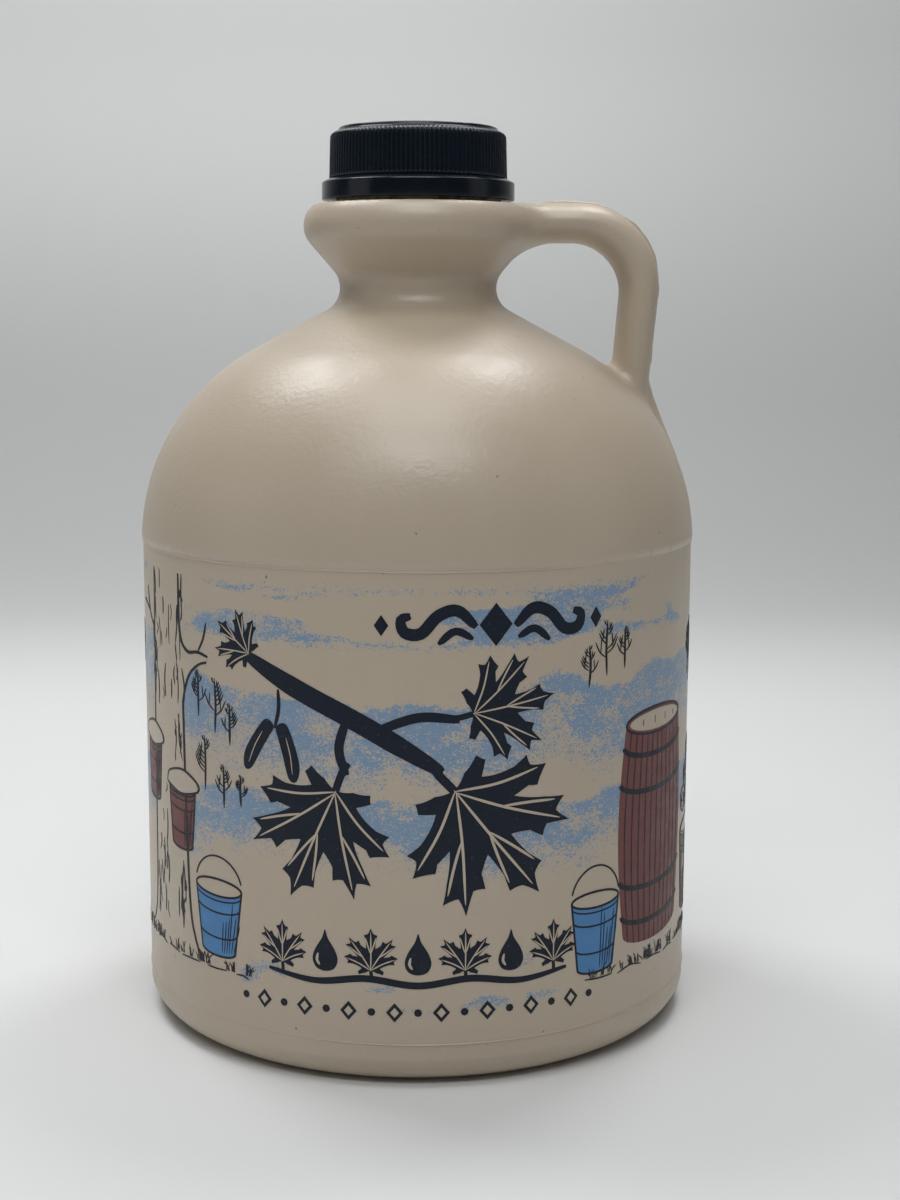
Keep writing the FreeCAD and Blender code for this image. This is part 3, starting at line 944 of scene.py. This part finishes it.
# ------------ materials
class Shade:
    """A material whose nodes are wired up as values are asked for."""

    def __init__(self, name):
        self.material = bpy.data.materials.new(name)
        self.material.use_nodes = True
        self.nodes = self.material.node_tree.nodes
        self.links = self.material.node_tree.links
        self.shader = self.nodes["Principled BSDF"]
        self.place = self.nodes.new("ShaderNodeTexCoord").outputs["Object"]

    def feed(self, socket, value):
        if isinstance(value, bpy.types.NodeSocket):
            self.links.new(value, socket)
        else:
            socket.default_value = value

    def add(self, kind, output, values, **settings):
        """One output of a new node, with its settings and with values or links fed in."""
        node = self.nodes.new("ShaderNode" + kind)
        for name, value in settings.items():
            setattr(node, name, value)
        for socket, value in values.items():
            self.feed(node.inputs[socket], value)
        return node.outputs[output]

    def sum(self, operation, first, second=0.0, third=0.0):
        return self.add("Math", "Value", {0: first, 1: second, 2: third}, operation=operation)

    def times(self, *values):
        total = values[0]
        for value in values[1:]:
            total = self.sum("MULTIPLY", total, value)
        return total

    def ease(self, value, start, end, low=0.0, high=1.0):
        """A smooth step: low before the start and high after the end."""
        return self.add("MapRange", "Result", {
            "Value": value, "From Min": start, "From Max": end, "To Min": low, "To Max": high,
        }, interpolation_type="SMOOTHSTEP")

    def noise(self, across, up=None, detail=2.0, roughness=0.5, distortion=0.0, shift=0.0):
        """Noise with grains of so many millimetres across and up."""
        scale = (1000 / across, 1000 / across, 1000 / (up or across))
        place = self.add("VectorMath", "Vector", {0: self.place, 1: scale, 2: (shift,) * 3},
                         operation="MULTIPLY_ADD")
        return self.add("TexNoise", "Fac", {"Vector": place, "Scale": 1.0, "Detail": detail,
                                            "Roughness": roughness, "Distortion": distortion})

    def along(self, axis):
        """The place along an axis, in millimetres."""
        return self.times(self.add("SeparateXYZ", axis, {"Vector": self.place}), 1000.0)

    def mix(self, share, first, second):
        first, second = ((*c, 1) if isinstance(c, tuple) else c for c in (first, second))
        return self.add("Mix", "Result", {"Factor": share, "A": first, "B": second},
                        data_type="RGBA")

    def bump(self, height, distance, under=None):
        values = {"Strength": 1.0, "Distance": distance * MM, "Height": height}
        if under is not None:
            values["Normal"] = under
        return self.add("Bump", "Normal", values)

    def finish(self, colour, roughness, normal, gloss):
        self.feed(self.shader.inputs["Base Color"], colour)
        self.feed(self.shader.inputs["Roughness"], roughness)
        self.shader.inputs["Specular IOR Level"].default_value = gloss
        self.links.new(normal, self.shader.inputs["Normal"])
        return self.material


BEIGE = (0.510, 0.428, 0.328)
WASH_BLUE = (0.115, 0.270, 0.47)


def tint(colour, by):
    return tuple(c * by for c in colour)


def chalk_wash(shade):
    """How much blue chalk lies at a place of the panel: drifts at the top and two soft
    banks lower down, each with an uneven upper edge, broken up by the grain of the chalk."""
    height = shade.along("Z")
    drift = shade.ease(shade.noise(34, 9, 2, 0.55, 0.4, shift=3.1), 0.47, 0.57)
    amount = shade.times(drift, shade.ease(height, 92.0, 96.5), shade.ease(height, 108.5, 103.5))
    for middle, swing, depth, shift in ((87.0, 42.0, 27.0, 7.7), (63.0, 34.0, 22.0, 1.3)):
        edge = shade.noise(46, 400, 2, 0.5, shift=shift)
        edge = shade.sum("MULTIPLY_ADD", shade.sum("SUBTRACT", edge, 0.5), swing, middle)
        ragged = shade.noise(5.0, 3.0, 2, 0.6, shift=shift)
        edge = shade.sum("ADD", edge, shade.times(ragged, 4.0))
        under = shade.sum("SUBTRACT", edge, height)
        bank = shade.times(shade.ease(under, 0.0, 2.6), shade.ease(under, depth, depth * 0.3))
        amount = shade.sum("MAXIMUM", amount, bank)
    amount = shade.times(amount, shade.ease(height, 39.0, 42.0))
    foot = shade.ease(shade.noise(15, 7, 2, shift=5.0), 0.56, 0.64, 0.0, 0.75)
    foot = shade.times(foot, shade.ease(height, 15.0, 19.0), shade.ease(height, 34.0, 27.0))
    patchy = shade.ease(shade.noise(11, 6, 2, 0.6, 0.3, shift=9.0), 0.28, 0.60, 0.50, 0.98)
    amount = shade.times(shade.sum("MAXIMUM", amount, foot), patchy)
    grain = shade.sum("ADD", shade.times(shade.noise(0.42, 0.36, 1, 0.6), 0.7),
                      shade.times(shade.noise(1.3, 0.8, 1, 0.5), 0.3))
    reach = shade.times(shade.sum("SUBTRACT", amount, 0.60), 0.36)
    return shade.times(shade.ease(shade.sum("ADD", grain, reach), 0.44, 0.60), 0.84)


def plastic_beige(name, washed=True):
    """Satin blow-moulded plastic: a fine peel in the highlights, slow waves, faint mottle."""
    shade = Shade(name)
    mottle = shade.noise(38, 38, 3, 0.5)
    colour = shade.mix(mottle, tint(BEIGE, 0.97), tint(BEIGE, 1.03))
    speck = shade.ease(shade.noise(1.1, 1.1, 0), 0.885, 0.90, 0.0, 0.8)
    colour = shade.mix(speck, colour, (0.16, 0.13, 0.10))
    if washed:
        colour = shade.mix(chalk_wash(shade), colour, WASH_BLUE)
    roughness = shade.ease(shade.noise(9, 9, 1), 0.3, 0.7, 0.35, 0.42)
    normal = shade.bump(shade.noise(22, 22, 0), 0.40)
    normal = shade.bump(shade.noise(1.7, 1.7, 2, 0.7), 0.085, under=normal)
    return shade.finish(colour, roughness, normal, gloss=0.75)


def plastic_dark(name, colour, roughness, scuffs):
    """Hard dark plastic with a fine grain, dust in faint streaks and small pale scuffs."""
    shade = Shade(name)
    streaks = shade.ease(shade.noise(1.2, 16, 2), 0.45, 0.75, 0.0, 0.35)
    body = shade.mix(streaks, colour, tuple(c * 1.7 + 0.002 for c in colour))
    nick = shade.ease(shade.noise(0.7, 1.3, 1, shift=4.0), 0.80, 0.88, 0.0, scuffs)
    body = shade.mix(nick, body, (0.12, 0.13, 0.14))
    gloss = shade.ease(shade.noise(5, 5, 3, 0.6), 0.3, 0.7, roughness * 0.85, roughness * 1.2)
    normal = shade.bump(shade.noise(0.4, 0.4, 2), 0.010)
    normal = shade.bump(shade.noise(7, 7, 1), 0.05, under=normal)
    return shade.finish(body, gloss, normal, gloss=0.45)


def ink(name, colour):
    """Screen ink: a little uneven in depth, thin in small specks, over the same peel."""
    shade = Shade(name)
    depth = shade.noise(6, 4, 3, 0.6)
    body = shade.mix(depth, tint(colour, 0.85), tint(colour, 1.15))
    thin = shade.ease(shade.noise(0.6, 0.6, 1), 0.66, 0.82, 0.0, 0.30)
    body = shade.mix(thin, body, tuple(0.7 * c + 0.3 * b for c, b in zip(colour, BEIGE)))
    roughness = shade.ease(shade.noise(3, 3, 2), 0.3, 0.7, 0.40, 0.52)
    normal = shade.bump(shade.noise(0.75, 0.75, 2), 0.028)
    return shade.finish(body, roughness, normal, gloss=0.28)


# ------------ stage, lights, camera
def make_stage():
    """A pale floor that curves up into a wall, with painted shade that makes it darker low down
    and towards the right.
    """
    shade = Shade("stage_white")
    height, depth = shade.along("Z"), shade.along("Y")
    # painted shade: the wall's colour goes darker low down, where it meets the floor
    wall = shade.mix(shade.ease(height, 90, 330), (0.52, 0.53, 0.525), (0.84, 0.85, 0.845))
    paper = shade.mix(shade.noise(260, 260, 2), (0.75, 0.76, 0.765), (0.77, 0.78, 0.78))
    # towards the back the floor fades into the painted shade low on the wall
    colour = shade.mix(shade.ease(depth, 300, 720), paper, wall)
    # painted shade: floor and wall grow darker towards the right
    colour = shade.mix(shade.ease(shade.along("X"), -60, 420, 0.0, 0.36), colour,
                       (0.42, 0.43, 0.43))
    normal = shade.bump(shade.noise(1.6, 1.6, 2), 0.02)
    material = shade.finish(colour, 0.85, normal, gloss=0.3)
    outline = [(-2.5, 0.0), (0.55, 0.0)]
    outline += [(0.55 + 0.35 * sin(a), 0.35 - 0.35 * cos(a))
                for a in np.radians(np.linspace(5, 90, 18))]
    outline += [(0.90, 2.2)]
    points = [(x, y, z) for y, z in outline for x in (-2.5, 2.5)]
    faces = grid_faces(len(outline), 2, False, False)
    smooth_mesh("stage", points, faces, material)


def make_lights():
    """Ceiling lamps and two faint walls, all aimed at the jug, in a faintly lit room."""
    aim = Vector((0.0, 0.0, 0.14))
    for name, place, size, power in (
            ("ceiling_left", (-0.40, 0.34, 0.98), (0.30, 0.36), 3.1),
            ("ceiling_right", (0.26, 0.36, 1.02), (0.24, 0.36), 2.5),
            ("ceiling_middle", (-0.04, -0.26, 1.12), (0.60, 0.34), 2.4),
            ("ceiling_front", (-0.03, -0.66, 0.95), (0.80, 0.14), 3.3),
            ("ceiling_wide", (0.0, 0.25, 1.60), (1.80, 1.40), 5.0),
            ("wall_left", (-1.25, -0.35, 0.42), (0.70, 0.90), 0.75),
            ("wall_right", (1.25, -0.30, 0.42), (0.60, 0.90), 0.45)):
        data = bpy.data.lights.new(name, "AREA")
        data.shape = "RECTANGLE"
        data.size, data.size_y = size
        data.energy = power
        light = new_object(name, data)
        light.location = place
        light.rotation_euler = (aim - Vector(place)).to_track_quat("-Z", "Y").to_euler()
    world = bpy.data.worlds.new("room")
    world.use_nodes = True
    air = world.node_tree.nodes["Background"].inputs
    air["Color"].default_value = (0.80, 0.82, 0.85, 1)
    air["Strength"].default_value = 0.08
    bpy.context.scene.world = world


def make_camera():
    """Stands a little above the jug's shoulder, close in front, and looks slightly down."""
    yaw, pitch, roll = 0.0197, 0.152, 0.0038
    data = bpy.data.cameras.new("camera")
    data.sensor_width = 36.0
    data.lens = 56.36
    data.clip_start, data.clip_end = 0.01, 20
    camera = new_object("camera", data)
    camera.matrix_world = (Matrix.Translation((-0.00103, -0.43871, 0.16178))
                           @ Matrix.Rotation(-yaw, 4, "Z")
                           @ Matrix.Rotation(pi / 2 - pitch, 4, "X")
                           @ Matrix.Rotation(roll, 4, "Z"))
    bpy.context.scene.camera = camera


def main():
    bpy.context.scene.view_settings.view_transform = "Standard"
    make_camera()
    make_stage()
    make_lights()
    beige = plastic_beige("jug_plastic")
    bare = plastic_beige("bare_plastic", washed=False)
    make_jug(beige)
    make_ridge("ridge_top", 109.9, bare, 1)
    make_ridge("ridge_bottom", 9.9, bare, 2)
    make_seams(bare)
    make_print({
        "bare": bare,
        "veins": bare,
        "navy": ink("ink_navy", (0.0045, 0.0095, 0.022)),
        "lines": ink("ink_lines", (0.010, 0.014, 0.024)),
        "fine": ink("ink_fine", (0.010, 0.014, 0.024)),
        "maroon": ink("ink_maroon", (0.175, 0.062, 0.058)),
        "blue": ink("ink_blue", (0.082, 0.245, 0.50)),
    })
    make_cap(plastic_dark("cap_plastic", (0.0012, 0.0062, 0.0125), 0.25, 0.5))
    make_band(plastic_dark("band_plastic", (0.0020, 0.0055, 0.0115), 0.19, 0.3))


main()
